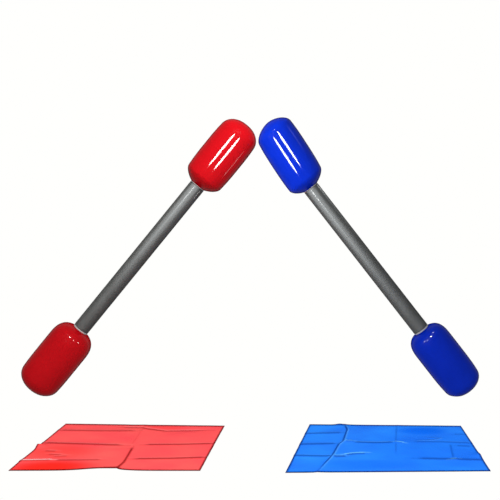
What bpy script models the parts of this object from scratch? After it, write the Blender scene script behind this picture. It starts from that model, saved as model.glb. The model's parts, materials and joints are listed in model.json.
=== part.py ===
"""A set of two double-ended training sticks and the two floor mats that go with them.

Each stick is a rigid tube in a grey grip sleeve. A hollow vinyl head, filled with air, is
pushed over each end of the tube. A cap closes the tube's end inside the head, a white collar
sits between the head and the sleeve, and a push-in valve is set in the back of the head. The
sticks stand on their lower heads and lean in until their upper heads almost touch. The mats
lie flat on the floor in front of them. Metres, +Z up, floor at z = 0, front towards -Y.
"""

import math

import bmesh
import bpy
from mathutils import Matrix, Vector

GAP = 0.0003  # clearance between pieces that touch
LARGE_SIDES = 24
SMALL_SIDES = 16
SHARP_ANGLE = math.radians(40)
MERGE_DISTANCE = 0.00001

# A stick's head and the places along the axis, counted from the head's outer end.
HEAD_LENGTH = 0.208
HEAD_WALL = 0.0006
END_DEPTH = 0.050  # axial length of the domed outer end
SHOULDER_DEPTH = 0.050  # axial length of the shoulder if it ran on to the axis
DOME_POWER = 2.2  # 2 is an ellipse, more is squarer
DOME_STEPS = 7
NECK_RADIUS = 0.0235
POCKET_DEPTH = 0.140  # how far the tube goes into the head
FOOT_DENT = 0.0015  # how far the floor presses in a lower head

TUBE_RADIUS = 0.016
TUBE_WALL = 0.002
SLEEVE_RADIUS = 0.0215
SLEEVE_CHAMFER = 0.001
COLLAR_RADIUS = 0.0240
COLLAR_LENGTH = 0.0046
COLLAR_ROUND = 0.0012
CAP_LENGTH = 0.019
CAP_FLANGE = 0.004
CAP_WALL = 0.002
CAP_ROUND = 0.002

# The valve, counted outwards from the head's wall.
VALVE_PLACE = 0.118  # from the head's outer end
VALVE_BORE = 0.0035
VALVE_STEM_RADIUS = 0.0046
VALVE_STEM_DEPTH = 0.012
VALVE_FLANGE_RADIUS = 0.011
VALVE_FLANGE_RIM = 0.0009
VALVE_BOSS_RADIUS = 0.0065
VALVE_BOSS_BASE = 0.0014
VALVE_BOSS_HEIGHT = 0.0032
PLUG_CAP_RADIUS = 0.0062
PLUG_CAP_THICKNESS = 0.0017
PLUG_CHAMFER = 0.0005
PLUG_DEPTH = 0.0105
TAB_REACH = 0.014
TAB_WIDTH = 0.006
TAB_THICKNESS = 0.0012

# The set as it stands: name, length with the heads as far on as they are pushed, lean from
# the vertical (towards +X), radius of the lower and the upper head as they are blown up, how
# far the soft upper head sags back from the lean, and vinyl colour.
STICKS = (
    ("red", 0.9075, math.radians(39.3), (0.0577, 0.0557), 0.0, (0.62, 0.005, 0.015)),
    (
        "blue", 0.8915, math.radians(-38.1), (0.0546, 0.0546), math.radians(4.6),
        (0.005, 0.045, 0.62),
    ),
)
HEAD_SPACING = 0.0039  # between the two upper heads

# The mats: name, centre across and along, turn, and colour, with x = 0 between the heads.
MAT_SIDE = 0.400
MAT_THICKNESS = 0.0012
MAT_CENTRE_Y = -0.5437
MATS = (
    ("red", -0.2819, math.radians(-3), (0.80, 0.05, 0.04)),
    ("blue", 0.2731, math.radians(-3), (0.02, 0.20, 0.85)),
)

GREY = (0.20, 0.20, 0.205)
PIPE_WHITE = (0.55, 0.56, 0.57)
BLACK = (0.02, 0.02, 0.02)
WHITE = (0.80, 0.80, 0.78)
CLEAR_WHITE = (0.70, 0.72, 0.72)

HEAD_TO_VALVE = Matrix.Rotation(-math.pi / 2, 4, "X")  # turns a piece's Z to the back, +Y


def clear_scene():
    for old in list(bpy.data.objects):
        bpy.data.objects.remove(old, do_unlink=True)


def make_material(name, colour, roughness, metallic=0.0):
    material = bpy.data.materials.new(name)
    material.use_nodes = True
    shader = material.node_tree.nodes["Principled BSDF"]
    shader.inputs["Base Color"].default_value = (*colour, 1.0)
    shader.inputs["Roughness"].default_value = roughness
    shader.inputs["Metallic"].default_value = metallic
    return material


def add_object(name, bm, material, parent, placing=Matrix.Identity(4)):
    """A named object from bm, placed under its parent."""
    mesh = bpy.data.meshes.new(name)
    bm.to_mesh(mesh)
    bm.free()
    mesh.materials.append(material)
    mesh.shade_smooth()
    mesh.set_sharp_from_angle(angle=SHARP_ANGLE)
    piece = bpy.data.objects.new(name, mesh)
    bpy.context.scene.collection.objects.link(piece)
    piece.parent = parent
    piece.matrix_basis = placing
    return piece


def add_empty(name, parent=None, placing=Matrix.Identity(4)):
    empty = bpy.data.objects.new(name, None)
    bpy.context.scene.collection.objects.link(empty)
    empty.parent = parent
    empty.matrix_basis = placing
    return empty


def turned(outline, sides, ring=False):
    """The solid that an outline of (radius, height) points makes when it is spun about Z."""
    bm = bmesh.new()
    corners = [bm.verts.new((radius, 0.0, height)) for radius, height in outline]
    following = corners[1:] + corners[:1] if ring else corners[1:]
    edges = [bm.edges.new(pair) for pair in zip(corners, following)]
    bmesh.ops.spin(
        bm,
        geom=corners + edges,
        cent=(0, 0, 0),
        axis=(0, 0, 1),
        angle=2 * math.pi,
        steps=sides,
        use_merge=True,
    )
    bmesh.ops.remove_doubles(bm, verts=bm.verts, dist=MERGE_DISTANCE)
    bmesh.ops.recalc_face_normals(bm, faces=bm.faces)
    return bm


def add_boolean(piece, tool, operation):
    """Cuts piece with tool or joins them, and keeps tool out of the model."""
    tool.hide_render = True
    tool.display_type = "WIRE"
    modifier = piece.modifiers.new(operation.lower(), "BOOLEAN")
    modifier.operation = operation
    modifier.object = tool


def dome_point(turn, depth, head_radius):
    """(radius, depth from the apex) on a head's domed end, at a turn from 0 to a right angle."""
    radius = head_radius * math.sin(turn) ** (2 / DOME_POWER)
    return radius, depth * (1 - math.cos(turn) ** (2 / DOME_POWER))


def head_outline(head_radius):
    """The head's outer skin, from the bottom of its pocket to its outer end at height 0."""
    pocket_radius = TUBE_RADIUS + GAP
    pocket_end = HEAD_LENGTH - POCKET_DEPTH
    neck_turn = math.asin((NECK_RADIUS / head_radius) ** (DOME_POWER / 2))
    neck_depth = dome_point(neck_turn, SHOULDER_DEPTH, head_radius)[1]
    outline = [(0.0, pocket_end), (pocket_radius, pocket_end), (pocket_radius, HEAD_LENGTH)]
    for step in range(DOME_STEPS + 1):
        turn = neck_turn + (math.pi / 2 - neck_turn) * step / DOME_STEPS
        radius, depth = dome_point(turn, SHOULDER_DEPTH, head_radius)
        outline.append((radius, HEAD_LENGTH + neck_depth - depth))
    for step in range(DOME_STEPS, -1, -1):
        outline.append(dome_point(math.pi / 2 * step / DOME_STEPS, END_DEPTH, head_radius))
    return outline


def inset(outline, distance):
    """The outline moved inwards by distance. Its two ends stay on the axis."""
    moved = []
    points = [Vector(point) for point in outline]
    for before, here, after in zip(points, points[1:], points[2:]):
        first = (here - before).normalized()
        second = (after - here).normalized()
        sides = Vector((first.y, -first.x)) + Vector((second.y, -second.x))
        inwards = sides / (1 + first.dot(second))
        moved.append(tuple(here + inwards * distance))
    start = (0.0, outline[0][1] - distance)
    end = (0.0, outline[-1][1] + distance)
    return [start, *moved, end]


def press_flat(bm, point, normal):
    """Flattens what lies behind the plane through point onto it."""
    bmesh.ops.bisect_plane(
        bm,
        geom=[*bm.verts, *bm.edges, *bm.faces],
        dist=MERGE_DISTANCE / 10,
        plane_co=point,
        plane_no=normal,
    )
    for vert in bm.verts:
        behind = (vert.co - point).dot(normal)
        if behind < 0:
            vert.co -= normal * behind
    bmesh.ops.remove_doubles(bm, verts=bm.verts, dist=MERGE_DISTANCE)


def sag_sideways(bm, slope):
    """Moves the head's skin along X, more the further from its neck. The pocket stays."""
    pocket_radius = TUBE_RADIUS + GAP + 2 * HEAD_WALL
    pocket_end = HEAD_LENGTH - POCKET_DEPTH - 2 * HEAD_WALL
    for vert in bm.verts:
        radius = math.hypot(vert.co.x, vert.co.y)
        if radius > pocket_radius or vert.co.z < pocket_end:
            vert.co.x += slope * (HEAD_LENGTH - vert.co.z)


def add_head(name, head_radius, material, parent, placing, slope, floor=None):
    """A hollow head. floor is a (point, normal) in the head's frame that it is pressed on."""
    outer = turned(head_outline(head_radius), LARGE_SIDES)
    inner = turned(inset(head_outline(head_radius), HEAD_WALL), LARGE_SIDES)
    sag_sideways(outer, slope)
    sag_sideways(inner, slope)
    if floor:
        point, normal = floor
        press_flat(outer, point, normal)
        press_flat(inner, point + normal * HEAD_WALL, normal)
    bmesh.ops.reverse_faces(inner, faces=inner.faces)
    lining = bpy.data.meshes.new("lining")
    inner.to_mesh(lining)
    inner.free()
    outer.from_mesh(lining)
    bpy.data.meshes.remove(lining)
    head = add_object(name, outer, material, parent, placing)

    drill = bmesh.new()
    bmesh.ops.create_cone(
        drill,
        cap_ends=True,
        segments=SMALL_SIDES,
        radius1=VALVE_STEM_RADIUS + 2 * GAP,
        radius2=VALVE_STEM_RADIUS + 2 * GAP,
        depth=VALVE_STEM_DEPTH,
    )
    cutter_placing = placing @ valve_placing(head_radius, slope)
    cutter = add_object(f"{name}_valve_drill", drill, material, parent, cutter_placing)
    add_boolean(head, cutter, "DIFFERENCE")


def valve_placing(head_radius, slope):
    """Where the head's wall meets the valve's axis. The piece's Z points out to the back."""
    aside = slope * (HEAD_LENGTH - VALVE_PLACE)
    return Matrix.Translation((aside, head_radius, VALVE_PLACE)) @ HEAD_TO_VALVE


def bend_over_head(bm, head_radius):
    """Drops each point above the wall as the round wall drops away across the valve."""
    for vert in bm.verts:
        if vert.co.z > 0:
            vert.co.z -= head_radius - math.sqrt(head_radius**2 - vert.co.x**2)


def add_valve(name, head_radius, seat_material, plug_material, parent, placing):
    """The seat on the head's wall and the plug in it, both turned about the valve's axis."""
    seat = turned(
        [
            (VALVE_BORE, VALVE_BOSS_HEIGHT),
            (VALVE_BOSS_RADIUS - PLUG_CHAMFER, VALVE_BOSS_HEIGHT),
            (VALVE_BOSS_RADIUS, VALVE_BOSS_BASE),
            (VALVE_FLANGE_RADIUS, VALVE_FLANGE_RIM),
            (VALVE_FLANGE_RADIUS, GAP),
            (VALVE_STEM_RADIUS, GAP),
            (VALVE_STEM_RADIUS, -VALVE_STEM_DEPTH),
            (VALVE_BORE, -VALVE_STEM_DEPTH),
        ],
        SMALL_SIDES,
        ring=True,
    )
    bend_over_head(seat, head_radius)
    add_object(f"{name}_valve_seat", seat, seat_material, parent, placing)

    cap_base = VALVE_BOSS_HEIGHT + GAP
    cap_top = cap_base + PLUG_CAP_THICKNESS
    shank = VALVE_BORE - GAP
    plug = turned(
        [
            (0.0, cap_top),
            (PLUG_CAP_RADIUS - PLUG_CHAMFER, cap_top),
            (PLUG_CAP_RADIUS, cap_top - PLUG_CHAMFER),
            (PLUG_CAP_RADIUS, cap_base),
            (shank, cap_base),
            (shank, -PLUG_DEPTH + 3 * PLUG_CHAMFER),
            (shank - PLUG_CHAMFER, -PLUG_DEPTH),
            (0.0, -PLUG_DEPTH),
        ],
        SMALL_SIDES,
    )
    plug_piece = add_object(f"{name}_valve_plug", plug, plug_material, parent, placing)
    add_boolean(plug_piece, add_pull_tab(name, plug_material, parent, placing), "UNION")


def add_pull_tab(name, material, parent, placing):
    """The tongue on the plug's cap, which points from the valve to the middle of the stick."""
    half = TAB_WIDTH / 2
    base = VALVE_BOSS_HEIGHT + GAP + PLUG_CHAMFER / 2
    tip_start = TAB_REACH - half
    bm = bmesh.new()
    rim = [bm.verts.new((half, 0, base)), bm.verts.new((-half, 0, base))]
    for step in range(7):
        turn = math.pi * step / 6
        place = (-half * math.cos(turn), -tip_start - half * math.sin(turn), base)
        rim.append(bm.verts.new(place))
    tongue = bm.faces.new(rim)
    grown = bmesh.ops.extrude_face_region(bm, geom=[tongue])
    lifted = [item for item in grown["geom"] if isinstance(item, bmesh.types.BMVert)]
    bmesh.ops.translate(bm, verts=lifted, vec=(0, 0, TAB_THICKNESS))
    bmesh.ops.recalc_face_normals(bm, faces=bm.faces)
    return add_object(f"{name}_pull_tab", bm, material, parent, placing)


def add_tube(name, length, material, parent):
    end = HEAD_LENGTH - POCKET_DEPTH + CAP_FLANGE + 2 * GAP
    outline = [
        (TUBE_RADIUS - TUBE_WALL, end),
        (TUBE_RADIUS, end),
        (TUBE_RADIUS, length - end),
        (TUBE_RADIUS - TUBE_WALL, length - end),
    ]
    add_object(name, turned(outline, LARGE_SIDES, ring=True), material, parent)


def add_sleeve(name, length, material, parent):
    end = HEAD_LENGTH + COLLAR_LENGTH + 2 * GAP
    low, high = end, length - end
    outline = [
        (TUBE_RADIUS + GAP, low),
        (SLEEVE_RADIUS - SLEEVE_CHAMFER, low),
        (SLEEVE_RADIUS, low + SLEEVE_CHAMFER),
        (SLEEVE_RADIUS, high - SLEEVE_CHAMFER),
        (SLEEVE_RADIUS - SLEEVE_CHAMFER, high),
        (TUBE_RADIUS + GAP, high),
    ]
    add_object(name, turned(outline, LARGE_SIDES, ring=True), material, parent)


def add_collar(name, material, parent, placing):
    low = HEAD_LENGTH + GAP
    high = low + COLLAR_LENGTH
    outline = [
        (TUBE_RADIUS + GAP, low),
        (COLLAR_RADIUS - COLLAR_ROUND, low),
        (COLLAR_RADIUS, low + COLLAR_ROUND),
        (COLLAR_RADIUS, high - COLLAR_ROUND),
        (COLLAR_RADIUS - COLLAR_ROUND, high),
        (TUBE_RADIUS + GAP, high),
    ]
    add_object(name, turned(outline, LARGE_SIDES, ring=True), material, parent, placing)


def add_tube_cap(name, material, parent, placing):
    low = HEAD_LENGTH - POCKET_DEPTH + GAP
    skirt = TUBE_RADIUS - TUBE_WALL - GAP
    outline = [
        (0.0, low),
        (TUBE_RADIUS - CAP_ROUND, low),
        (TUBE_RADIUS, low + CAP_ROUND),
        (TUBE_RADIUS, low + CAP_FLANGE),
        (skirt, low + CAP_FLANGE),
        (skirt, low + CAP_LENGTH),
        (skirt - CAP_WALL, low + CAP_LENGTH),
        (skirt - CAP_WALL, low + CAP_FLANGE),
        (0.0, low + CAP_FLANGE),
    ]
    add_object(name, turned(outline, LARGE_SIDES), material, parent, placing)


def stick_placing(length, lean, head_radii, sag):
    """Stands a stick on its lower head, with its upper head just short of x = 0."""
    lower_radius, upper_radius = head_radii
    steep, across = math.cos(lean), abs(math.sin(lean))
    lowest, reach = 0.0, 0.0
    for radius, height in head_outline(lower_radius):
        lowest = min(lowest, height * steep - radius * across)
    for radius, height in head_outline(upper_radius):
        aside = math.tan(sag) * (HEAD_LENGTH - height)
        reach = max(reach, (length - height) * across + (radius - aside) * steep)
    side = -math.copysign(1, lean)
    place = (side * (reach + HEAD_SPACING / 2), 0, -lowest - FOOT_DENT)
    return Matrix.Translation(place) @ Matrix.Rotation(lean, 4, "Y")


def add_stick(name, length, lean, head_radii, sag, colour, shared, parent):
    vinyl = make_material(f"{name}_vinyl", colour, 0.12)
    placing = stick_placing(length, lean, head_radii, sag)
    stick = add_empty(f"{name}_stick", parent, placing)
    to_stick = placing.inverted()
    floor = (to_stick @ Vector((0, 0, 0)), to_stick.to_3x3() @ Vector((0, 0, 1)))
    upper_end = Matrix.Translation((0, 0, length)) @ Matrix.Rotation(math.pi, 4, "Y")

    add_tube(f"{name}_core_tube", length, shared["tube"], stick)
    add_sleeve(f"{name}_grip_sleeve", length, shared["sleeve"], stick)
    upper_slope = math.copysign(math.tan(sag), lean)
    ends = (
        ("lower", head_radii[0], Matrix.Identity(4), 0.0, floor),
        ("upper", head_radii[1], upper_end, upper_slope, None),
    )
    for end, head_radius, end_placing, slope, pressed_on in ends:
        part = f"{name}_{end}"
        add_head(f"{part}_head", head_radius, vinyl, stick, end_placing, slope, pressed_on)
        valve_place = end_placing @ valve_placing(head_radius, slope)
        add_valve(part, head_radius, shared["valve"], vinyl, stick, valve_place)
        add_collar(f"{part}_neck_ring", shared["collar"], stick, end_placing)
        add_tube_cap(f"{part}_tube_cap", shared["cap"], stick, end_placing)


def add_mat(name, centre_x, turn, colour, parent):
    sheet = make_material(f"{name}_sheet", colour, 0.35)
    bm = bmesh.new()
    bmesh.ops.create_cube(bm, size=1.0)
    bmesh.ops.scale(bm, verts=bm.verts, vec=(MAT_SIDE, MAT_SIDE, MAT_THICKNESS))
    bmesh.ops.translate(bm, verts=bm.verts, vec=(0, 0, MAT_THICKNESS / 2))
    centre = Matrix.Translation((centre_x, MAT_CENTRE_Y, 0))
    add_object(f"{name}_mat", bm, sheet, parent, centre @ Matrix.Rotation(turn, 4, "Z"))


def centre_on_origin(whole):
    """Moves the set sideways, so that the middle of its footprint is at x = 0 and y = 0."""
    bpy.context.view_layer.update()
    graph = bpy.context.evaluated_depsgraph_get()
    corners = []
    for piece in bpy.data.objects:
        if piece.type == "MESH" and not piece.hide_render:
            solid = piece.evaluated_get(graph)
            corners += [solid.matrix_world @ vert.co for vert in solid.data.vertices]
    for axis in (0, 1):
        low = min(corner[axis] for corner in corners)
        high = max(corner[axis] for corner in corners)
        whole.location[axis] = -(low + high) / 2
    bpy.context.view_layer.update()


def main():
    clear_scene()
    whole = add_empty("training_stick_set")
    shared = {
        "tube": make_material("core_tube", PIPE_WHITE, 0.5),
        "sleeve": make_material("grip_sleeve", GREY, 0.45),
        "collar": make_material("neck_ring", WHITE, 0.3),
        "cap": make_material("tube_cap", BLACK, 0.5),
        "valve": make_material("valve_seat", CLEAR_WHITE, 0.25),
    }
    for name, length, lean, head_radii, sag, colour in STICKS:
        add_stick(name, length, lean, head_radii, sag, colour, shared, whole)
    for name, centre_x, turn, colour in MATS:
        add_mat(name, centre_x, turn, colour, whole)
    centre_on_origin(whole)


main()
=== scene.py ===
"""Looks of the focus training sticks: glossy vinyl heads, satin sleeves and creased floor mats."""

import json
import math

import bmesh
import bpy
import numpy as np
from mathutils import Matrix, Vector

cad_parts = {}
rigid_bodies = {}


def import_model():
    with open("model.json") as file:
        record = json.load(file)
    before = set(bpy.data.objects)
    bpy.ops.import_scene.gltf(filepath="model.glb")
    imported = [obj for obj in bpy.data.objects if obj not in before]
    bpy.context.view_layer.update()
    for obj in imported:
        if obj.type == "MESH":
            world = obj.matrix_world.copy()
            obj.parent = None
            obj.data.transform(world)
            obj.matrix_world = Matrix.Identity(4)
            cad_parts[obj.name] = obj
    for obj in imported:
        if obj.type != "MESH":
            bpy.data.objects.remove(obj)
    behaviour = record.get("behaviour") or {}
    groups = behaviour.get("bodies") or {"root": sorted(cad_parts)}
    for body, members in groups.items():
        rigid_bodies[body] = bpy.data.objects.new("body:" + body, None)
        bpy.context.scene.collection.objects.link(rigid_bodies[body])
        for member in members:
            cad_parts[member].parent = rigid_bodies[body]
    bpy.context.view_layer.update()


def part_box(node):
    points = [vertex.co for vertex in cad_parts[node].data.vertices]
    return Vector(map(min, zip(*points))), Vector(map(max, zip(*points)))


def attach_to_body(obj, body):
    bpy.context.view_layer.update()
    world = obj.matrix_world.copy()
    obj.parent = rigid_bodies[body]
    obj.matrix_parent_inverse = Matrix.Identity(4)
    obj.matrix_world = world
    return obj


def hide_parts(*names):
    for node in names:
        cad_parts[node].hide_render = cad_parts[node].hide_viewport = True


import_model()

SCENE = bpy.context.scene
COLOURS = ("red", "blue")
ENDS = ("lower", "upper")
SHARP_ANGLE = math.radians(35)
MERGE_DISTANCE = 0.00001
GAP = 0.0003  # clearance between pieces that fit together

# The camera.
CAMERA_PLACE = (0.00034, -2.35365, 0.5473)
CAMERA_PITCH = math.radians(-3.391)
CAMERA_LENS = 73.81
CAMERA_SENSOR = 36

# What both sticks share. Places along a head are counted from its outer end.
HEAD_LENGTH = 0.208
POCKET_DEPTH = 0.140
TUBE_FIT = 0.0163  # radius of the pocket that holds the tube
COLLAR_LENGTH = 0.0046
COLLAR_RADIUS = 0.0213
COLLAR_ROUND = 0.0008
SLEEVE_RADIUS = 0.0215
SLEEVE_ROUND = 0.0010
SLEEVE_RINGS = 150
SHAFT_SIDES = 96
LIP_INNER = 0.0216
LIP_OUTER = 0.0227
HEAD_SIDES = 160
HEAD_RINGS = 96
POCKET_RINGS = 8
FLOOR_SOFTNESS = 0.001  # how softly a lower head's skin turns on to the floor

# How each inflated head came out: its radius, how far its outer end and its neck stop short,
# and its two domes. A dome is its depth, its power (2 is an ellipse, more is squarer) and how
# much of the radius the side draws in by the time it reaches the dome's tip.
HEADS = {
    "red_lower": dict(
        radius=0.0579, short=0.0020, neck=0.0,
        end=(0.041, 2.34, 0.10), shoulder=(0.060, 2.84, 0.0),
    ),
    "red_upper": dict(
        radius=0.0557, short=0.0018, neck=0.0025,
        end=(0.039, 2.33, 0.15), shoulder=(0.033, 1.70, 0.12),
    ),
    "blue_lower": dict(
        radius=0.0543, short=0.0, neck=0.0022,
        end=(0.034, 2.35, 0.15), shoulder=(0.060, 3.20, 0.0),
    ),
    "blue_upper": dict(
        radius=0.0545, short=0.0030, neck=0.0026,
        end=(0.032, 1.85, 0.14), shoulder=(0.031, 1.75, 0.11),
    ),
}
LIP = 0.0004  # how far the head's lip laps over the collar
COLLAR_SHOWN = {"lower": 0.0038, "upper": 0.0022}  # how much of it the sleeve leaves bare
SAG = {"red": 0.0, "blue": -math.tan(math.radians(4.8))}  # sideways slope of the upper head

# The valve's seat and plug. Heights are counted outwards from the head's wall.
VALVE_PLACE = 0.118
VALVE_SIDES = 64
HOLE_SIDES = 32
VALVE_BORE = 0.0035
STEM_RADIUS = 0.0046
STEM_DEPTH = 0.012
BOSS_TOP = 0.0032
BOSS_RADIUS = 0.0065
BEAD_PLACE = 0.0088  # radius of the weld bead's middle
FLANGE_TOP = 0.0009
FLANGE_RADIUS = 0.0110
SEAT_ROUND = 0.0005
PLUG_DEPTH = 0.0105
PLUG_BEAD = 0.0070  # depth of the bead that seals the shank
CAP_BASE = 0.0035
CAP_TOP = CAP_BASE + 0.0017
CAP_RADIUS = 0.0062
CAP_DISH = 0.0004
TAB_REACH = 0.0140
TAB_HALF_WIDTH = 0.0030
TAB_THICKNESS = 0.0012
TAB_LIFT = 0.00025  # of the tab over the cap's base
HEAD_TO_VALVE = Matrix.Rotation(-math.pi / 2, 4, "X")  # turns the valve's Z to the back

# The mats: how each corner lies off a true square (near left, near right, far left, far
# right, in metres), then what folding left. Places and spreads go over the sheet from 0 to 1.
# A crease is its path, its rise, its reach to either side and the strength of its line of
# painted shade and of the painted glint beside it. A bulge is its middle, its spread and its
# rise. A patch, where the painted sheen is left off and the colour is deeper, is its middle,
# its spread and its strength.
MAT_SIDE = 0.40
MAT_TURN = math.radians(-3)
MAT_CELLS = 200
MAT_THICKNESS = 0.0007
MAT_SHARP_ANGLE = math.radians(50)
CREASE_ROUND = 0.0008  # how round a crease's ridge is
CREASE_END = 0.3  # how much of a crease is left at its ends
CREASE_FADE = 1 / 8  # share of a crease over which it fades to its ends
LINE_ALONG = 0.0058  # width of the painted shade line of a crease along X, which is seen foreshortened
LINE_ACROSS = 0.0022  # and of one across it
EDGE_SHADE_SIDE, EDGE_SHADE_NEAR, EDGE_SHADE_FAR = 0.011, 0.020, 0.034  # widths of the painted shade along the edges, as shares
EDGE_SHADE_END = 1.3  # in those widths, how far from the edge the painted shade has faded out
PAINTED_GLINT_PLACE, PAINTED_GLINT_WIDTH = 1.5, 0.7  # of the painted glint, a painted highlight beside the shade line, in its widths
MATS = {
    "red": dict(
        corners=((0.0045, -0.0046), (-0.0226, 0.0163), (0.0234, -0.0047), (-0.0053, -0.0041)),
        creases=(
            (((0.565, -0.02), (0.57, 0.12), (0.545, 0.48)), 0.0040, (0.030, 0.004), 1.0, 0.0),
            (((0.53, 0.46), (0.51, 0.86), (0.50, 1.02)), 0.0010, (0.020, 0.006), 0.2, 0.0),
            (((-0.02, 0.83), (0.27, 0.82), (0.51, 0.83)), 0.0022, (0.012, 0.010), 0.7, 0.1),
            (((0.36, 0.94), (0.50, 0.93), (0.66, 0.86), (0.94, 0.89)),
             -0.0016, (0.020, 0.012), 0.75, 0.1),
            (((-0.02, 0.54), (0.23, 0.52), (0.52, 0.49)), 0.0026, (0.014, 0.010), 0.8, 0.15),
            (((0.58, 0.52), (0.80, 0.53), (1.02, 0.56)), 0.0014, (0.014, 0.010), 0.8, 0.1),
            (((-0.02, 0.17), (0.18, 0.18)), 0.0024, (0.014, 0.012), 0.5, 1.0),
            (((0.18, 0.18), (0.45, 0.19)), 0.0020, (0.014, 0.010), 0.6, 0.1),
            (((0.58, 0.22), (0.80, 0.23), (1.02, 0.26)), 0.0018, (0.014, 0.010), 0.8, 0.1),
            (((0.07, 0.38), (0.14, 0.37)), 0.0010, (0.004, 0.004), 0.5, 0.12),
            (((0.11, 0.31), (0.19, 0.30)), 0.0010, (0.004, 0.004), 0.5, 0.12),
            (((0.15, 0.26), (0.23, 0.28)), 0.0008, (0.004, 0.004), 0.4, 0.12),
        ),
        bulges=(
            ((0.48, -0.02), (0.13, 0.12), 0.0042),
            ((0.0, 0.46), (0.05, 0.035), 0.0060),
            ((0.30, 0.10), (0.25, 0.08), 0.0014),
            ((0.30, 0.72), (0.22, 0.10), 0.0010),
            ((0.80, 0.72), (0.18, 0.10), 0.0012),
            ((0.80, 0.40), (0.18, 0.10), 0.0010),
        ),
        sheenless_patches=(
            ((0.20, 0.05), (0.22, 0.12), 1.0),
            ((0.15, 0.37), (0.20, 0.15), 0.45),
            ((0.62, 0.95), (0.14, 0.08), 0.30),
        ),
    ),
    "blue": dict(
        corners=((-0.0132, -0.0137), (-0.0128, 0.0184), (0.0368, -0.0047), (-0.0136, 0.0009)),
        creases=(
            (((0.23, 1.02), (0.26, 0.86), (0.25, 0.58), (0.23, 0.52), (0.21, 0.29), (0.15, -0.02)),
             0.0034, (0.012, 0.005), 1.0, 0.3),
            (((-0.02, 0.77), (0.24, 0.80)), 0.0018, (0.012, 0.010), 0.7, 0.1),
            (((-0.02, 0.53), (0.22, 0.55)), 0.0022, (0.012, 0.010), 0.75, 0.1),
            (((0.26, 0.58), (0.31, 0.59)), 0.0030, (0.010, 0.008), 0.4, 1.0),
            (((0.30, 0.58), (0.44, 0.57), (0.55, 0.58)), 0.0020, (0.012, 0.010), 0.75, 0.3),
            (((0.54, 0.58), (0.60, 0.56)), 0.0022, (0.010, 0.008), 0.3, 1.0),
            (((0.64, 0.60), (0.82, 0.60), (1.02, 0.57)), 0.0012, (0.012, 0.010), 0.55, 0.1),
            (((-0.02, 0.31), (0.22, 0.29)), 0.0020, (0.012, 0.010), 0.75, 0.1),
            (((0.21, 0.27), (0.28, 0.29)), 0.0022, (0.008, 0.006), 0.7, 0.5),
            (((0.27, 0.31), (0.32, 0.34), (0.39, 0.35)), 0.0018, (0.006, 0.005), 0.6, 1.0),
            (((0.58, 1.02), (0.56, 0.63), (0.55, 0.32)), 0.0010, (0.014, 0.008), 0.35, 0.0),
            (((0.73, 0.71), (0.83, 0.68), (0.78, 0.64), (0.65, 0.61)),
             0.0009, (0.005, 0.005), 0.5, 0.2),
            (((0.87, 0.54), (0.86, 0.40), (0.85, 0.24)), 0.0014, (0.008, 0.005), 0.5, 0.0),
            (((0.64, 0.25), (0.84, 0.23), (1.02, 0.21)), 0.0016, (0.012, 0.010), 0.75, 0.0),
            (((0.83, 0.21), (0.87, 0.22)), 0.0012, (0.008, 0.006), 0.2, 0.8),
            (((0.92, 0.78), (1.00, 0.78)), 0.0008, (0.006, 0.006), 0.4, 0.0),
            (((0.90, 0.52), (0.98, 0.50)), 0.0008, (0.006, 0.006), 0.5, 0.0),
        ),
        bulges=(
            ((0.20, 1.00), (0.03, 0.03), 0.0022),
            ((0.10, 0.42), (0.10, 0.08), 0.0010),
            ((0.42, 0.45), (0.15, 0.10), 0.0012),
            ((0.72, 0.85), (0.14, 0.08), 0.0012),
            ((0.72, 0.42), (0.14, 0.10), 0.0012),
            ((1.0, 0.30), (0.04, 0.05), 0.0030),
        ),
        sheenless_patches=(
            ((0.73, 0.85), (0.16, 0.10), 1.0),
            ((0.76, 0.40), (0.40, 0.50), 0.40),
            ((0.42, 0.14), (0.26, 0.10), 0.50),
        ),
    ),
}

NOISE_LOW, NOISE_HIGH = 0.3, 0.7  # the span that most of a noise texture's values are in

# Colours. A sheet's colour carries a painted sheen that is left off in its patches, and along
# its creases a painted glint beside a line of painted shade.
VINYL_COLOURS = {"red": (0.86, 0.006, 0.013), "blue": (0.003, 0.042, 0.86)}
SLEEVE_GREYS = ((0.108, 0.109, 0.103), (0.124, 0.126, 0.120))
# Each sheet: its own colour under a pale painted sheen, then that colour without the painted
# sheen, deeper, for patches turned from the light, the painted highlight of its glints, and the
# painted shade of its creases, which halved is also the painted shade along its edges.
SHEET_COLOURS = {
    "red": dict(
        colour=(1.0, 0.105, 0.098), sheenless=(0.92, 0.020, 0.012), painted_glint=(1.0, 0.80, 0.78),
        crease_shade=(0.26, 0.001, 0.002),
    ),
    "blue": dict(
        colour=(0.018, 0.240, 0.96), sheenless=(0.002, 0.14, 0.86), painted_glint=(0.20, 0.66, 1.0),
        crease_shade=(0.0, 0.035, 0.28),
    ),
}

# The studio: its white, its light from all round, and the brightness of its reflections from
# in front of the set (0) to behind it (1).
STUDIO_WHITE = (1.0, 1.0, 0.985)
AMBIENT = 0.33
WORLD_SHINE = ((0.0, 0.02), (0.45, 0.02), (0.72, 0.04), (0.86, 0.10), (0.93, 0.03), (0.97, 0.0))
FLOOR_REACH = 40
FLOOR_DROP = 0.0002

# The lamps over the mats and behind the sticks.
OVERHEAD = dict(
    place=(0, -0.9, 2.2), target=(0, -0.1, 0.0), size=(2.4, 1.6), power=77, along=(0, 1, 0)
)
BACK_FILL = dict(
    place=(0, 2.4, 0.7), target=(0, 0.35, 0.4), size=(1.4, 1.0), power=36, along=(1, 0, 0)
)

# The lamps round each stick, aimed at a place in one of its heads. A size is across and along
# the stick. A turn is about the stick, in degrees from the front towards its right, and a rise
# is along it.
LAMP_DISTANCE = 1.2
UPPER_AIM = 0.09  # from the stick's upper end
LOWER_AIM = 0.10  # from its lower end
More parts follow.
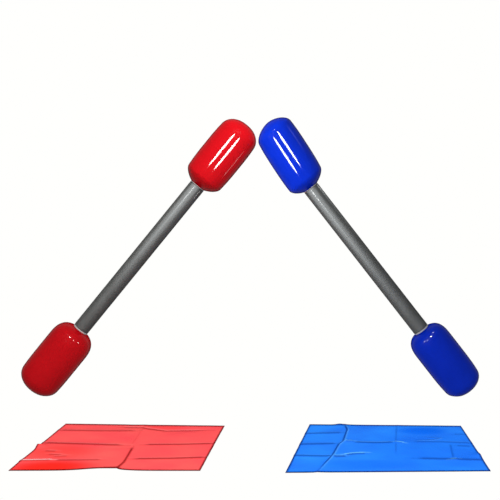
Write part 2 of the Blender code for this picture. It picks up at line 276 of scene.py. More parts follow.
# The key in front of each head.
KEY_SIZE = (1.4, 1.4)
KEY_RISE = 0.7
KEY_TURNS = {"red": -16, "blue": -20}
KEY_POWERS = {"red_upper": 22, "red_lower": 9.5, "blue_upper": 20.5, "blue_lower": 7.0}
# The two long highlights on each upper head, and the thin one near its edge.
STROBE_SIZE = (0.21, 0.44)
STROBE_RISE = 0.08
STROBE_POWER = 3.4
STROBE_TURNS = {"red": (-18.5, 16.0), "blue": (-22.0, 13.6)}
EDGE_SIZE = (0.06, 0.26)
EDGE_TURN = 84
EDGE_RISE = 0.0
EDGE_POWERS = {"red": 0.06, "blue": 0.03}
# The dots on each lower head and the specks on an upper head's dome: turn, rise and power.
GLINT_SIZE = (0.06, 0.06)
GLINTS = {
    "red": ((-37, 0.34, 0.4), (-20, 0.34, 0.9), (13, 0.34, 0.9), (42, 0.34, 0.4)),
    "blue": ((-35, 0.28, 1.0), (-13, 0.32, 1.4), (22, 0.30, 2.6), (57, 0.50, 0.4)),
}
SPECKS = {"red": (), "blue": ((-40, 1.0, 2.0), (6, 1.05, 1.3))}
# The sleeve's broad sheen, and the short glints just under its upper head: turn and power.
SHEEN_SIZE = (5.0, 1.3)
SHEEN_TURN = -22
SHEEN_RISE = 0.12
SHEEN_POWER = 37
NECK_GLINT_SIZE = (0.26, 0.05)
NECK_GLINT_RISE = -0.18
NECK_GLINTS = {"red": ((-24, 1.9), (80, 1.6)), "blue": ((-24, 2.2), (110, 0.6))}


# ---------------------------------------------------------------- small tools

def add_object(name, mesh, material):
    """An object in the scene. No object shows in another's reflections."""
    mesh.name = name
    mesh.materials.clear()
    mesh.materials.append(material)
    piece = bpy.data.objects.new(name, mesh)
    SCENE.collection.objects.link(piece)
    piece.visible_glossy = False
    return piece


def smooth(mesh, sharp=SHARP_ANGLE):
    mesh.shade_smooth()
    mesh.set_sharp_from_angle(angle=sharp)


def mesh_of(bm):
    """The finished mesh, with its faces turned the same way.

    Known fault: bm.transform leaves the face normals behind, so a mesh that was given a half
    turn can come out with its faces inwards, as the upper collars and the upper heads do.
    """
    bmesh.ops.recalc_face_normals(bm, faces=bm.faces)
    mesh = bpy.data.meshes.new("piece")
    bm.to_mesh(mesh)
    bm.free()
    smooth(mesh)
    return mesh


def turned(outline, sides, ring=False):
    """An outline of (radius, height) points spun about Z. A ring's outline is closed."""
    bm = bmesh.new()
    corners = [bm.verts.new((radius, 0.0, height)) for radius, height in outline]
    following = corners[1:] + corners[:1] if ring else corners[1:]
    edges = [bm.edges.new(pair) for pair in zip(corners, following)]
    bmesh.ops.spin(
        bm, geom=corners + edges, cent=(0, 0, 0), axis=(0, 0, 1),
        angle=2 * math.pi, steps=sides, use_merge=True,
    )
    bmesh.ops.remove_doubles(bm, verts=bm.verts, dist=MERGE_DISTANCE)
    return bm


def arc(centre, radius, start, stop, steps):
    """Points of a circular arc, with the angles in degrees."""
    x, y = centre
    turns = [math.radians(start + (stop - start) * step / steps) for step in range(steps + 1)]
    return [(x + radius * math.cos(turn), y + radius * math.sin(turn)) for turn in turns]


def combine(piece, tool, operation):
    """Applies a Boolean to the piece's mesh and removes the tool."""
    modifier = piece.modifiers.new("combine", "BOOLEAN")
    modifier.operation = operation
    modifier.solver = "EXACT"
    modifier.object = tool
    evaluated = piece.evaluated_get(bpy.context.evaluated_depsgraph_get())
    mesh = bpy.data.meshes.new_from_object(evaluated)
    piece.modifiers.clear()
    material = piece.data.materials[0]
    mesh.materials.clear()
    mesh.materials.append(material)
    smooth(mesh)
    piece.data = mesh
    bpy.data.objects.remove(tool)


def attach(piece, body, slot, *replaced):
    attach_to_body(piece, body)
    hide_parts(*replaced)


def centre_of(node):
    low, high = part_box(node)
    return (low + high) / 2


def stick_frame(colour):
    """The stick's own frame and its length.

    The frame's origin is the stick's lower end, with Z up the stick and Y to the back.
    """
    low = centre_of(f"{colour}_lower_neck_ring")
    high = centre_of(f"{colour}_upper_neck_ring")
    along = (high - low).normalized()
    back = Vector((0, 1, 0))
    across = back.cross(along)
    middle = (low + high) / 2
    half = (high - low).length / 2 + COLLAR_LENGTH / 2 + GAP + HEAD_LENGTH
    origin = middle - along * half
    axes = Matrix((across, back, along)).transposed().to_4x4()
    return Matrix.Translation(origin) @ axes, 2 * half


# ---------------------------------------------------------------- materials

def new_material(name, colour, roughness):
    material = bpy.data.materials.new(name)
    material.use_nodes = True
    shader = material.node_tree.nodes["Principled BSDF"]
    shader.inputs["Base Color"].default_value = (*colour, 1)
    shader.inputs["Roughness"].default_value = roughness
    return material, shader


def noise_node(tree, scale, detail=2.0, stretch=None):
    """A noise over the piece, in metres. stretch is a turn about Y and a scale on each axis."""
    place = tree.nodes.new("ShaderNodeTexCoord")
    texture = tree.nodes.new("ShaderNodeTexNoise")
    texture.inputs["Scale"].default_value = scale
    texture.inputs["Detail"].default_value = detail
    source = place.outputs["Object"]
    if stretch:
        turn, scales = stretch
        mapping = tree.nodes.new("ShaderNodeMapping")
        mapping.inputs["Rotation"].default_value = (0, turn, 0)
        mapping.inputs["Scale"].default_value = scales
        tree.links.new(source, mapping.inputs["Vector"])
        source = mapping.outputs["Vector"]
    tree.links.new(source, texture.inputs["Vector"])
    return texture.outputs["Fac"]


def colour_between(tree, source, first, second):
    """A colour from first to second, as the noise goes from its low to its high values."""
    ramp = tree.nodes.new("ShaderNodeValToRGB")
    ramp.color_ramp.elements[0].position = NOISE_LOW
    ramp.color_ramp.elements[0].color = (*first, 1)
    ramp.color_ramp.elements[1].position = NOISE_HIGH
    ramp.color_ramp.elements[1].color = (*second, 1)
    tree.links.new(source, ramp.inputs["Fac"])
    return ramp.outputs["Color"]


def value_between(tree, source, first, second):
    """A value from first to second, as the noise goes from its low to its high values."""
    ranged = tree.nodes.new("ShaderNodeMapRange")
    ranged.inputs["From Min"].default_value = NOISE_LOW
    ranged.inputs["From Max"].default_value = NOISE_HIGH
    ranged.inputs["To Min"].default_value = first
    ranged.inputs["To Max"].default_value = second
    tree.links.new(source, ranged.inputs["Value"])
    return ranged.outputs["Result"]


def add_bump(tree, shader, source, strength, depth):
    bump = tree.nodes.new("ShaderNodeBump")
    bump.inputs["Strength"].default_value = strength
    bump.inputs["Distance"].default_value = depth
    tree.links.new(source, bump.inputs["Height"])
    tree.links.new(bump.outputs["Normal"], shader.inputs["Normal"])


def vinyl(name, colour):
    """Glossy inflated vinyl: a faint broad ripple, slightly uneven in colour and gloss."""
    material, shader = new_material(name, colour, roughness=0.1)
    tree = material.node_tree
    cloud = noise_node(tree, scale=14)
    darker = tuple(0.93 * part for part in colour)
    tree.links.new(colour_between(tree, cloud, darker, colour), shader.inputs["Base Color"])
    tree.links.new(value_between(tree, cloud, 0.06, 0.08), shader.inputs["Roughness"])
    shader.inputs["IOR"].default_value = 1.8
    shader.inputs["Coat Weight"].default_value = 0.6
    shader.inputs["Coat IOR"].default_value = 1.6
    shader.inputs["Coat Roughness"].default_value = 0.05
    ripple = noise_node(tree, scale=35, detail=1.0)
    add_bump(tree, shader, ripple, strength=0.02, depth=0.0004)
    return material


def sleeve_grey(name, lean):
    """Smooth satin grip sleeve: faint long streaks and a soft ripple along the stick."""
    material, shader = new_material(name, (0.09, 0.09, 0.092), roughness=0.34)
    tree = material.node_tree
    streak = noise_node(tree, scale=60, detail=3.0, stretch=(lean, (1, 1, 0.12)))
    tree.links.new(colour_between(tree, streak, *SLEEVE_GREYS), shader.inputs["Base Color"])
    tree.links.new(value_between(tree, streak, 0.36, 0.40), shader.inputs["Roughness"])
    shader.inputs["IOR"].default_value = 1.9
    shader.inputs["Specular Tint"].default_value = (0.90, 0.98, 1.0, 1)
    shader.inputs["Coat Weight"].default_value = 0.25
    shader.inputs["Coat Roughness"].default_value = 0.12
    ripple = noise_node(tree, scale=30, detail=1.0, stretch=(lean, (1, 1, 0.2)))
    add_bump(tree, shader, ripple, strength=0.03, depth=0.0006)
    return material


def plain_plastic(name, colour, other, roughness, cloud_scale=120, grain_scale=1500):
    """A moulded plastic, clouded between two near colours, with a fine surface grain."""
    material, shader = new_material(name, colour, roughness)
    tree = material.node_tree
    cloud = noise_node(tree, cloud_scale)
    tree.links.new(colour_between(tree, cloud, other, colour), shader.inputs["Base Color"])
    uneven = value_between(tree, cloud, roughness * 0.9, roughness * 1.1)
    tree.links.new(uneven, shader.inputs["Roughness"])
    grain = noise_node(tree, grain_scale, detail=1.0)
    add_bump(tree, shader, grain, strength=0.08, depth=0.0001)
    return material


def mat_plastic(name, colour, sheenless, painted_glint, crease_shade):
    """Thin shiny sheet: painted shade along its rim and creases, painted glints beside the
    creases, and a painted sheen left off in patches.
    """
    material, shader = new_material(name, colour, roughness=0.3)
    tree = material.node_tree
    cloud = noise_node(tree, scale=9, detail=3.0)
    darker = (0.95 * colour[0], 0.72 * colour[1], 0.93 * colour[2])
    base = colour_between(tree, cloud, darker, colour)
    # The rim's tint: painted shade along the sheet's edges, half the colour of the crease shade.
    rim = tuple(0.5 * part for part in crease_shade)
    # Each layer paints light into the colour: the sheen left off in patches, glints, crease shade
    # and edge shade.
    for layer, tint in (("sheenless", sheenless), ("painted_glint", painted_glint), ("crease_shade", crease_shade), ("rim", rim)):
        painted_mask = tree.nodes.new("ShaderNodeAttribute")
        painted_mask.attribute_name = layer
        mix = tree.nodes.new("ShaderNodeMix")
        mix.data_type = "RGBA"
        tree.links.new(painted_mask.outputs["Fac"], mix.inputs["Factor"])
        tree.links.new(base, mix.inputs["A"])
        mix.inputs["B"].default_value = (*tint, 1)
        base = mix.outputs["Result"]
    tree.links.new(base, shader.inputs["Base Color"])
    tree.links.new(value_between(tree, cloud, 0.26, 0.36), shader.inputs["Roughness"])
    pebble = noise_node(tree, scale=160, detail=1.0)
    add_bump(tree, shader, pebble, strength=0.06, depth=0.0003)
    return material


# ---------------------------------------------------------------- heads

def dome_share(depth, power, place):
    """Share of the full radius at a place along a dome, counted from its tip."""
    inward = max(1 - place / depth, 0)
    return max(1 - inward**power, 0) ** (1 / power)


def drawn_in(draw, place):
    """How the side draws in from the middle of the head, 0, to its tip, 1."""
    return 1 - draw * max(place, 0) ** 3


def head_outline(shape):
    """The head's skin from the bottom of its pocket round to its outer end."""
    radius, short = shape["radius"], shape["short"]
    end_depth, end_power, end_draw = shape["end"]
    depth, power, draw = shape["shoulder"]
    # The neck's dome starts at the lip, so the stretch of it inside the lip is skipped.
    start = LIP_OUTER / radius / (1 - draw)
    skipped = depth * (1 - (1 - start**power) ** (1 / power))
    mouth = HEAD_LENGTH - shape["neck"]
    half = mouth / 2

    bottom = HEAD_LENGTH - POCKET_DEPTH
    outline = [(0.0, bottom), (TUBE_FIT / 3, bottom), (2 * TUBE_FIT / 3, bottom)]
    for step in range(POCKET_RINGS + 1):
        outline.append((TUBE_FIT, bottom + (mouth - bottom) * step / POCKET_RINGS))
    roll = (LIP_OUTER - LIP_INNER) / 2
    outline += [(LIP_INNER, mouth)]
    outline += arc(((LIP_INNER + LIP_OUTER) / 2, mouth + LIP - roll), roll, 180, 0, 6)
    for step in range(HEAD_RINGS + 1):
        place = mouth * (1 + math.cos(math.pi * step / HEAD_RINGS)) / 2
        share = dome_share(end_depth, end_power, place)
        share *= dome_share(depth, power, mouth - place + skipped)
        share *= drawn_in(end_draw, 1 - place / half) * drawn_in(draw, place / half - 1)
        outline.append((radius * share, place + short * (1 - place / mouth)))
    return outline


def press_on_floor(mesh):
    """Lets the skin spread on the floor: nothing goes below z = 0 and the rim stays soft."""
    for vert in mesh.vertices:
        z = vert.co.z
        if z < 4 * FLOOR_SOFTNESS:
            vert.co.z = (z + math.sqrt(z * z + FLOOR_SOFTNESS**2)) / 2


def sag_of(part):
    """Sideways slope of a head's skin."""
    colour, end = part.split("_")
    return SAG[colour] if end == "upper" else 0.0


def lean_skin(bm, slope):
    """Leans the skin to one side and leaves the pocket straight on its tube."""
    for vert in bm.verts:
        x, y, z = vert.co
        outside = math.hypot(x, y) > TUBE_FIT + GAP or z < HEAD_LENGTH - POCKET_DEPTH - GAP
        if outside and z < HEAD_LENGTH:
            vert.co.x += slope * (HEAD_LENGTH - z)


def valve_placing(radius, slope):
    """Where a valve sits on its head's wall, with Z outwards."""
    aside = slope * (HEAD_LENGTH - VALVE_PLACE)
    return Matrix.Translation((aside, radius, VALVE_PLACE)) @ HEAD_TO_VALVE


def wall_radius(shape):
    """The head's radius where the valve sits."""
    half = (HEAD_LENGTH - shape["neck"]) / 2
    return shape["radius"] * drawn_in(shape["shoulder"][2], VALVE_PLACE / half - 1)


def add_head(part, placing, material):
    """One head, with the hole that its valve's stem goes through.

    Known fault: the hole isn't cut in an upper head, as its faces point inwards: see mesh_of.
    """
    colour, end = part.split("_")
    shape, slope = HEADS[part], sag_of(part)
    bm = turned(head_outline(shape), HEAD_SIDES)
    lean_skin(bm, slope)
    bm.transform(placing)
    mesh = mesh_of(bm)
    if end == "lower":
        press_on_floor(mesh)
    piece = add_object(f"{part}_vinyl_head", mesh, material)
    bore, floor = STEM_RADIUS + GAP, -STEM_DEPTH - GAP
    hole = turned([(0.0, STEM_DEPTH), (bore, STEM_DEPTH), (bore, floor), (0.0, floor)], HOLE_SIDES)
    hole.transform(placing @ valve_placing(wall_radius(shape), slope))
    combine(piece, add_object("hole", mesh_of(hole), material), "DIFFERENCE")
    attach(piece, f"{colour}_stick", f"{colour}_vinyl", f"{part}_head")
    return piece


# ---------------------------------------------------------------- valves

def drop_over_wall(bm, radius):
    """Drops each point above the wall as the round wall drops away across the valve."""
    for vert in bm.verts:
        if vert.co.z > 0:
            vert.co.z -= radius - math.sqrt(radius**2 - vert.co.x**2)


def add_seat(part, placing, radius, material):
    """The valve's seat: a welded flange with a bead, a coned boss and the stem in the wall."""
    lead, rim = 0.0003, 0.0004
    outline = [(VALVE_BORE, BOSS_TOP - 0.0002)]
    outline += arc((VALVE_BORE + lead, BOSS_TOP - lead), lead, 160, 90, 3)
    outline += arc((BOSS_RADIUS - SEAT_ROUND, BOSS_TOP - SEAT_ROUND), SEAT_ROUND, 90, 10, 4)
    outline += [(BOSS_RADIUS + 0.0003, BOSS_TOP / 2), (BEAD_PLACE - 0.0012, FLANGE_TOP + 0.0003)]
    outline += arc((BEAD_PLACE, FLANGE_TOP), SEAT_ROUND, 130, 50, 4)
    outline += [(BEAD_PLACE + 0.0008, FLANGE_TOP)]
    outline += arc((FLANGE_RADIUS - rim, FLANGE_TOP - 0.0003), rim, 90, -30, 5)
    outline += [(STEM_RADIUS, GAP), (STEM_RADIUS, -STEM_DEPTH), (VALVE_BORE, -STEM_DEPTH)]
    bm = turned(outline, VALVE_SIDES, ring=True)
    drop_over_wall(bm, radius)
    bm.transform(placing)
    piece = add_object(f"{part}_valve_flange", mesh_of(bm), material)
    attach(piece, part.split("_")[0] + "_stick", "valve_seat", f"{part}_valve_seat")
    return piece


def add_tongue(placing, material):
    """The flat pull tab, with a rounded tip and rounded edges."""
    half = TAB_HALF_WIDTH
    tip = TAB_REACH - half
    rim = [(half, 0.0)]
    rim += [(-x, -tip - y) for x, y in arc((0, 0), half, 180, 0, 12)]
    rim += [(-half, 0.0)]
    bm = bmesh.new()
    face = bm.faces.new([bm.verts.new((x, y, CAP_BASE + TAB_LIFT)) for x, y in rim])
    grown = bmesh.ops.extrude_face_region(bm, geom=[face])
    lifted = [item for item in grown["geom"] if isinstance(item, bmesh.types.BMVert)]
    bmesh.ops.translate(bm, verts=lifted, vec=(0, 0, TAB_THICKNESS))
    bmesh.ops.recalc_face_normals(bm, faces=bm.faces)
    level = [
        edge for edge in bm.edges
        if abs(edge.verts[0].co.z - edge.verts[1].co.z) < MERGE_DISTANCE
    ]
    bmesh.ops.bevel(bm, geom=level, offset=0.0003, segments=2, profile=0.5, affect="EDGES")
    bm.transform(placing)
    return add_object("tongue", mesh_of(bm), material)


def add_plug(part, placing, material):
    """The push-in plug: a dished cap over a shank with a sealing bead, and a pull tab."""
    shank = VALVE_BORE - GAP
    crown, skirt = 0.0006, 0.0004
    outline = [(0.0, CAP_TOP - CAP_DISH), (0.0030, CAP_TOP - 0.75 * CAP_DISH)]
    outline += [(0.0040, CAP_TOP - 0.25 * CAP_DISH), (0.0048, CAP_TOP)]
    outline += arc((CAP_RADIUS - crown, CAP_TOP - crown), crown, 90, 0, 5)
    outline += arc((CAP_RADIUS - skirt, CAP_BASE + skirt), skirt, 0, -90, 4)
    outline += [(shank, CAP_BASE), (shank, 0.0010 - PLUG_BEAD)]
    outline += [(shank + 0.0001, 0.0004 - PLUG_BEAD), (shank + 0.0002, -PLUG_BEAD)]
    outline += [(shank + 0.0001, -PLUG_BEAD - 0.0004), (shank - 0.0002, -PLUG_BEAD - 0.0010)]
    outline += [(shank - 0.0005, -PLUG_DEPTH), (0.0, -PLUG_DEPTH)]
    bm = turned(outline, VALVE_SIDES)
    bm.transform(placing)
    piece = add_object(f"{part}_air_plug", mesh_of(bm), material)
    combine(piece, add_tongue(placing, material), "UNION")
    colour = part.split("_")[0]
    attach(piece, f"{part}_plug", f"{colour}_vinyl", f"{part}_valve_plug")
    return piece


# ---------------------------------------------------------------- the stick

def add_collar(part, placing, material):
    """The white collar between the head and the sleeve, with rounded rims."""
    low = HEAD_LENGTH - HEADS[part]["neck"] + GAP
    high = low + COLLAR_SHOWN[part.split("_")[1]]
    rim = COLLAR_RADIUS - COLLAR_ROUND
    outline = [(TUBE_FIT, low)]
    outline += arc((rim, low + COLLAR_ROUND), COLLAR_ROUND, -90, 0, 6)
    outline += arc((rim, high - COLLAR_ROUND), COLLAR_ROUND, 0, 90, 6)
    outline += [(TUBE_FIT, high)]
    bm = turned(outline, SHAFT_SIDES, ring=True)
    bm.transform(placing)
    piece = add_object(f"{part}_white_collar", mesh_of(bm), material)
    attach(piece, part.split("_")[0] + "_stick", "neck_ring", f"{part}_neck_ring")
    return piece


def add_sleeve(colour, placing, length, material):
    """The grip sleeve, from collar to collar."""
    necks = {end: HEADS[f"{colour}_{end}"]["neck"] for end in ENDS}
    covered = {end: HEAD_LENGTH - necks[end] + COLLAR_SHOWN[end] + 2 * GAP for end in ENDS}
    low, high = covered["lower"], length - covered["upper"]
    rim = SLEEVE_RADIUS - SLEEVE_ROUND
    start, stop = low + SLEEVE_ROUND, high - SLEEVE_ROUND
    outline = [(TUBE_FIT, low)]
    outline += arc((rim, start), SLEEVE_ROUND, -90, 0, 5)
    for step in range(1, SLEEVE_RINGS):
        outline.append((SLEEVE_RADIUS, start + (stop - start) * step / SLEEVE_RINGS))
    outline += arc((rim, stop), SLEEVE_ROUND, 0, 90, 5)
    outline += [(TUBE_FIT, high)]
    bm = turned(outline, SHAFT_SIDES, ring=True)
    bm.transform(placing)
    piece = add_object(f"{colour}_satin_sleeve", mesh_of(bm), material)
    attach(piece, f"{colour}_stick", "grip_sleeve", f"{colour}_grip_sleeve")
    return piece


# ---------------------------------------------------------------- mats

def path_distance(spots, path):
    """Each spot's nearest distance to a path, its side of it, and how far along it that is."""
    best = np.full(spots.shape[:-1], np.inf)
    side = np.zeros_like(best)
    share = np.zeros_like(best)
    pieces = len(path) - 1
    for number, (start, stop) in enumerate(zip(path, path[1:])):
        start, stop = np.array(start) * MAT_SIDE, np.array(stop) * MAT_SIDE
        way = stop - start
        along = np.clip(((spots - start) @ way) / (way @ way), 0, 1)
        gap = spots - (start + along[..., None] * way)
        distance = np.hypot(gap[..., 0], gap[..., 1])
        nearer = distance < best
        best = np.where(nearer, distance, best)
        side = np.where(nearer, way[0] * gap[..., 1] - way[1] * gap[..., 0], side)
        share = np.where(nearer, (number + along) / pieces, share)
    return best, side > 0, share


def spot_reach(u, v, where, spread):
    """How far each spot is from a bulge's or patch's middle, in its spreads."""
    return np.hypot((u - where[0]) / spread[0], (v - where[1]) / spread[1])


def sheet_layers(shape, u, v):
    """The sheet's height over the grid, and its painted light: the shade of its creases, the
    glints beside them, the patches without painted sheen and the shade along its rim.
    """
    spots = np.stack([u, v], -1) * MAT_SIDE
    height = np.zeros_like(u)
    crease_shade = np.zeros_like(u)
    painted_glint = np.zeros_like(u)
    for path, rise, (left, right), shade, glint_strength in shape["creases"]:
        distance, on_left, share = path_distance(spots, path)
        fade = np.clip(np.minimum(share, 1 - share) / CREASE_FADE, CREASE_END, 1)
        reach = np.where(on_left, left, right)
        rounded = np.sqrt(distance**2 + CREASE_ROUND**2)
        height += rise * np.exp(-rounded / reach) * fade
        runs_along = abs(path[-1][0] - path[0][0]) > abs(path[-1][1] - path[0][1])
        line = LINE_ALONG if runs_along else LINE_ACROSS
        shift = np.where(on_left, distance, -distance) + line / 2
        # A line of painted shade along the crease.
        crease_shade = np.maximum(crease_shade, shade * np.exp(-(shift / line) ** 2) * fade)
        # A painted highlight, the glint, beside that line.
        beside = (shift - PAINTED_GLINT_PLACE * line) / (PAINTED_GLINT_WIDTH * line)
        painted_glint = np.maximum(painted_glint, glint_strength * np.exp(-beside**2) * fade)
    for where, spread, rise in shape["bulges"]:
        height += rise * np.exp(-spot_reach(u, v, where, spread) ** 2)
    # Patches where the painted sheen is left off, so the colour is deeper.
    sheenless = np.zeros_like(u)
    for where, spread, strength in shape["sheenless_patches"]:
        sheenless = np.maximum(sheenless, strength * np.exp(-spot_reach(u, v, where, spread) ** 4))
    # Painted shade along the sheet's edges, wider at the near and far edges, which are
    # foreshortened.
    sides = np.minimum(u, 1 - u) / EDGE_SHADE_SIDE
    fronts = np.minimum(v / EDGE_SHADE_NEAR, (1 - v) / EDGE_SHADE_FAR)
    rim = np.clip(EDGE_SHADE_END - np.minimum(sides, fronts), 0, 1)
    return height - height.min(), crease_shade, painted_glint, sheenless, rim


def mat_corners(colour):
    """The sheet's four corners on the floor: near left, near right, far left, far right."""
    middle = centre_of(f"{colour}_mat").xy
    corners = []
    for index, offset in enumerate(MATS[colour]["corners"]):
        square = Vector(((index % 2 - 0.5) * MAT_SIDE, (index // 2 - 0.5) * MAT_SIDE))
        square.rotate(Matrix.Rotation(MAT_TURN, 2))
        corners.append(np.array(middle + square + Vector(offset)))
    return corners


def sheet_mesh(top):
    """A closed thin sheet under a square grid of points."""
    across = MAT_CELLS + 1
    top = top.reshape(-1, 3)
    bottom = top - np.array([0, 0, MAT_THICKNESS])
    count = len(top)
    index = np.arange(count).reshape(across, across)
    corners = (index[:-1, :-1], index[:-1, 1:], index[1:, 1:], index[1:, :-1])
    faces = np.stack(corners, -1).reshape(-1, 4)
    border = np.concatenate([index[0, :-1], index[:-1, -1], index[-1, :0:-1], index[:0:-1, 0]])
    after = np.roll(border, -1)
    sides = np.stack([border, border + count, after + count, after], -1)
    mesh = bpy.data.meshes.new("sheet")
    mesh.from_pydata(
        np.concatenate([top, bottom]).tolist(),
        [],
        np.concatenate([faces, faces[:, ::-1] + count, sides]).tolist(),
    )
    return mesh


def add_mat(colour, material):
    """One creased floor mat."""
    grid = np.linspace(0, 1, MAT_CELLS + 1)
    u, v = np.meshgrid(grid, grid)
    weights = ((1 - u) * (1 - v), u * (1 - v), (1 - u) * v, u * v)
    place = sum(corner * weight[..., None] for corner, weight in zip(mat_corners(colour), weights))
    height, *layers = sheet_layers(MATS[colour], u, v)
    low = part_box(f"{colour}_mat")[0].z
    mesh = sheet_mesh(np.concatenate([place, (low + MAT_THICKNESS + height)[..., None]], -1))
    # The layers of painted light that the sheet's material reads.
    for name, values in zip(("crease_shade", "painted_glint", "sheenless", "rim"), layers):
        layer = mesh.attributes.new(name, "FLOAT", "POINT")
        layer.data.foreach_set("value", np.tile(values.ravel(), 2).astype(np.float32))
    smooth(mesh, MAT_SHARP_ANGLE)
    piece = add_object(f"{colour}_mat_sheet", mesh, material)
    attach(piece, f"{colour}_floor_mat", f"{colour}_sheet", f"{colour}_mat")
    return piece


# ---------------------------------------------------------------- stage

def add_camera():
    data = bpy.data.cameras.new("camera")
    data.lens = CAMERA_LENS
    data.sensor_width = CAMERA_SENSOR
    data.clip_end = 100
    camera = bpy.data.objects.new("camera", data)
    SCENE.collection.objects.link(camera)
    camera.location = CAMERA_PLACE
    camera.rotation_euler = (math.pi / 2 + CAMERA_PITCH, 0, 0)
    SCENE.camera = camera


def add_floor():
    """An evenly lit white floor that runs into the white backdrop."""
    bm = bmesh.new()
    bmesh.ops.create_grid(bm, x_segments=1, y_segments=1, size=FLOOR_REACH)
    mesh = bpy.data.meshes.new("floor")
    bm.to_mesh(mesh)
    bm.free()
    material = bpy.data.materials.new("floor")
    material.use_nodes = True
    tree = material.node_tree
    tree.nodes.clear()
    output = tree.nodes.new("ShaderNodeOutputMaterial")
    glow = tree.nodes.new("ShaderNodeEmission")
    glow.inputs["Color"].default_value = (*STUDIO_WHITE, 1)
    tree.links.new(glow.outputs[0], output.inputs["Surface"])
    floor = add_object("floor", mesh, material)
    floor.location.z = -FLOOR_DROP
    floor.visible_diffuse = False


def add_area(name, place, target, size, power, along, lit, glossy):
    """An oval lamp that lights one group, with its second size along the given direction.

    A glossy lamp only shows as a reflection, and any other gives only diffuse light.
    """
    data = bpy.data.lights.new(name, "AREA")
    data.shape = "ELLIPSE"
    data.size, data.size_y = size
    data.energy = power
    lamp = bpy.data.objects.new(name, data)
    SCENE.collection.objects.link(lamp)
    away = (Vector(place) - Vector(target)).normalized()
    aside = Vector(along).cross(away).normalized()
    axes = Matrix((aside, away.cross(aside), away)).transposed().to_4x4()
    lamp.matrix_world = Matrix.Translation(place) @ axes
    lamp.visible_camera = False
    lamp.visible_glossy = glossy
    lamp.visible_diffuse = not glossy
    lamp.light_linking.receiver_collection = lit


def background(tree, strength=1.0):
    node = tree.nodes.new("ShaderNodeBackground")
    node.inputs["Strength"].default_value = strength
    return node


def add_world():
    """White behind the set, even soft light from all round, and dim reflections."""
    world = bpy.data.worlds.new("studio")
    SCENE.world = world
    world.use_nodes = True
    tree = world.node_tree
    tree.nodes.clear()
    output = tree.nodes.new("ShaderNodeOutputWorld")
    path = tree.nodes.new("ShaderNodeLightPath")
    place = tree.nodes.new("ShaderNodeTexCoord")
    split = tree.nodes.new("ShaderNodeSeparateXYZ")
    tree.links.new(place.outputs["Generated"], split.inputs["Vector"])
    depth = tree.nodes.new("ShaderNodeMapRange")
    depth.inputs["From Min"].default_value = -1
    depth.inputs["From Max"].default_value = 1
    tree.links.new(split.outputs["Y"], depth.inputs["Value"])
    ramp = tree.nodes.new("ShaderNodeValToRGB")
    ramp.color_ramp.interpolation = "EASE"
    elements = ramp.color_ramp.elements
    while len(elements) < len(WORLD_SHINE):
        elements.new(0.5)
    for element, (position, level) in zip(elements, WORLD_SHINE):
        element.position = position
        element.color = (level, level, level, 1)
    tree.links.new(depth.outputs["Result"], ramp.inputs["Fac"])
    shine = background(tree)
    tree.links.new(ramp.outputs["Color"], shine.inputs["Color"])
    ambient = background(tree, AMBIENT)
    white = background(tree)
    white.inputs["Color"].default_value = (*STUDIO_WHITE, 1)
    mixed = ambient
    for ray, other in (("Is Glossy Ray", shine), ("Is Camera Ray", white)):
        mix = tree.nodes.new("ShaderNodeMixShader")
        tree.links.new(path.outputs[ray], mix.inputs["Fac"])
        tree.links.new(mixed.outputs[0], mix.inputs[1])
        tree.links.new(other.outputs[0], mix.inputs[2])
        mixed = mix
    tree.links.new(mixed.outputs[0], output.inputs["Surface"])


def group_of(name, pieces):
    group = bpy.data.collections.new(name)
    for piece in pieces:
        group.objects.link(piece)
    return group


# ---------------------------------------------------------------- putting it together

def keep_cad_nodes():
    """Gives the CAD nodes that stay their own moulded plastics."""
    tube = plain_plastic(
        "core_tube", colour=(0.60, 0.61, 0.62), other=(0.54, 0.55, 0.56), roughness=0.45,
        cloud_scale=40, grain_scale=900,
    )
    cap = plain_plastic(
        "tube_cap", colour=(0.022, 0.022, 0.023), other=(0.014, 0.014, 0.015), roughness=0.4
    )
    for colour in COLOURS:
        bpy.data.objects[f"{colour}_core_tube"].material_slots[0].material = tube
        for end in ENDS:
            bpy.data.objects[f"{colour}_{end}_tube_cap"].material_slots[0].material = cap


def add_stick(colour, skin, collar, seat, groups):
    """One stick's pieces, put in the groups that the lamps light."""
    lower, length = stick_frame(colour)
    upper = lower @ Matrix.Translation((0, 0, length)) @ Matrix.Rotation(math.pi, 4, "Y")
    lean = math.atan2(lower[0][2], lower[2][2])
    satin = sleeve_grey(f"{colour}_grip_sleeve_satin", lean)
    sleeve = add_sleeve(colour, lower, length, satin)
    for end, placing in zip(ENDS, (lower, upper)):
        part = f"{colour}_{end}"
        head = add_head(part, placing, skin)
        ring = add_collar(part, placing, collar)
        radius = wall_radius(HEADS[part])
        valve = placing @ valve_placing(radius, sag_of(part))
        flange = add_seat(part, valve, radius, seat)
        plug = add_plug(part, valve, skin)
        lit = [head, ring, flange, plug] + ([sleeve] if end == "upper" else [])
        groups[part] = group_of(f"{part}_lit", lit)
        groups[f"{part}_glossy"] = group_of(f"{part}_glossy_lit", [head])
    groups[f"{colour}_sleeve"] = group_of(f"{colour}_sleeve_lit", [sleeve])


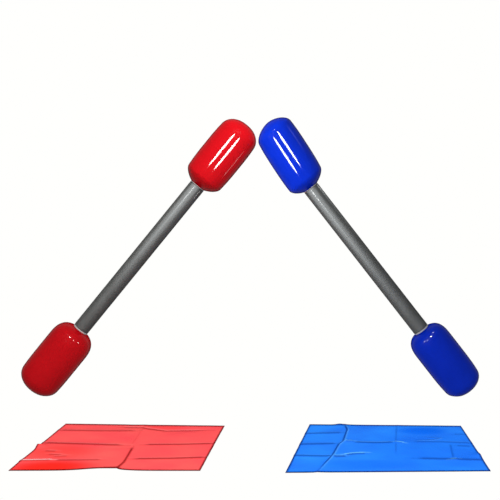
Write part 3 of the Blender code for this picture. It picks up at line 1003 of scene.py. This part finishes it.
def add_pieces():
    """Makes every piece, and returns the groups that the lamps light."""
    skins = {colour: vinyl(f"{colour}_vinyl", VINYL_COLOURS[colour]) for colour in COLOURS}
    collar = plain_plastic(
        "neck_ring", colour=(0.82, 0.81, 0.79), other=(0.76, 0.75, 0.73), roughness=0.3
    )
    seat = plain_plastic(
        "valve_seat", colour=(0.72, 0.74, 0.74), other=(0.62, 0.64, 0.65), roughness=0.25
    )
    groups = {}
    for colour in COLOURS:
        add_stick(colour, skins[colour], collar, seat, groups)
    sheets = [mat_plastic(f"{colour}_sheet", **SHEET_COLOURS[colour]) for colour in COLOURS]
    mats = [add_mat(colour, sheet) for colour, sheet in zip(COLOURS, sheets)]
    groups["mats"] = group_of("mats_lit", mats)
    parts = [f"{colour}_{end}" for colour in COLOURS for end in ("upper", "lower")]
    behind = [piece for part in parts for piece in groups[part].objects]
    groups["behind"] = group_of("behind_lit", behind)
    keep_cad_nodes()
    return groups


def add_stick_lights(colour, groups):
    """The lamps round one stick."""
    placing, length = stick_frame(colour)
    upper = placing @ Vector((0, 0, length - UPPER_AIM))
    lower = placing @ Vector((0, 0, LOWER_AIM))
    along = (placing.to_3x3() @ Vector((0, 0, 1))).normalized()
    front = Vector((0, -1, 0))
    right = front.cross(along).normalized()
    if right.x < 0:
        right.negate()

    def lamp(name, turn, rise, size, power, lit, aim=upper, glossy=True):
        angle = math.radians(turn)
        side = front * math.cos(angle) + right * math.sin(angle)
        place = aim + side * LAMP_DISTANCE + along * rise
        group = groups[f"{colour}_{lit}"]
        add_area(f"{colour}_{name}", place, aim, size, power, along, group, glossy)

    for end, aim in (("upper", upper), ("lower", lower)):
        power = KEY_POWERS[f"{colour}_{end}"]
        lamp(f"{end}_key", KEY_TURNS[colour], KEY_RISE, KEY_SIZE, power, end, aim, glossy=False)
    for index, turn in enumerate(STROBE_TURNS[colour]):
        lamp(f"strobe_{index}", turn, STROBE_RISE, STROBE_SIZE, STROBE_POWER, "upper_glossy")
    for index, (turn, rise, power) in enumerate(GLINTS[colour]):
        lamp(f"glint_{index}", turn, rise, GLINT_SIZE, power, "lower_glossy")
    for index, (turn, rise, power) in enumerate(SPECKS[colour]):
        lamp(f"speck_{index}", turn, rise, GLINT_SIZE, power, "upper_glossy")
    for index, (turn, power) in enumerate(NECK_GLINTS[colour]):
        lamp(f"neck_glint_{index}", turn, NECK_GLINT_RISE, NECK_GLINT_SIZE, power, "sleeve")
    lamp("sheen", SHEEN_TURN, SHEEN_RISE, SHEEN_SIZE, SHEEN_POWER, "sleeve")
    lamp("edge", EDGE_TURN, EDGE_RISE, EDGE_SIZE, EDGE_POWERS[colour], "upper_glossy")


def add_lights(groups):
    add_area("overhead", **OVERHEAD, lit=groups["mats"], glossy=False)
    add_area("back_fill", **BACK_FILL, lit=groups["behind"], glossy=False)
    for colour in COLOURS:
        add_stick_lights(colour, groups)


add_camera()
add_floor()
add_world()
add_lights(add_pieces())
SCENE.view_settings.view_transform = "Standard"
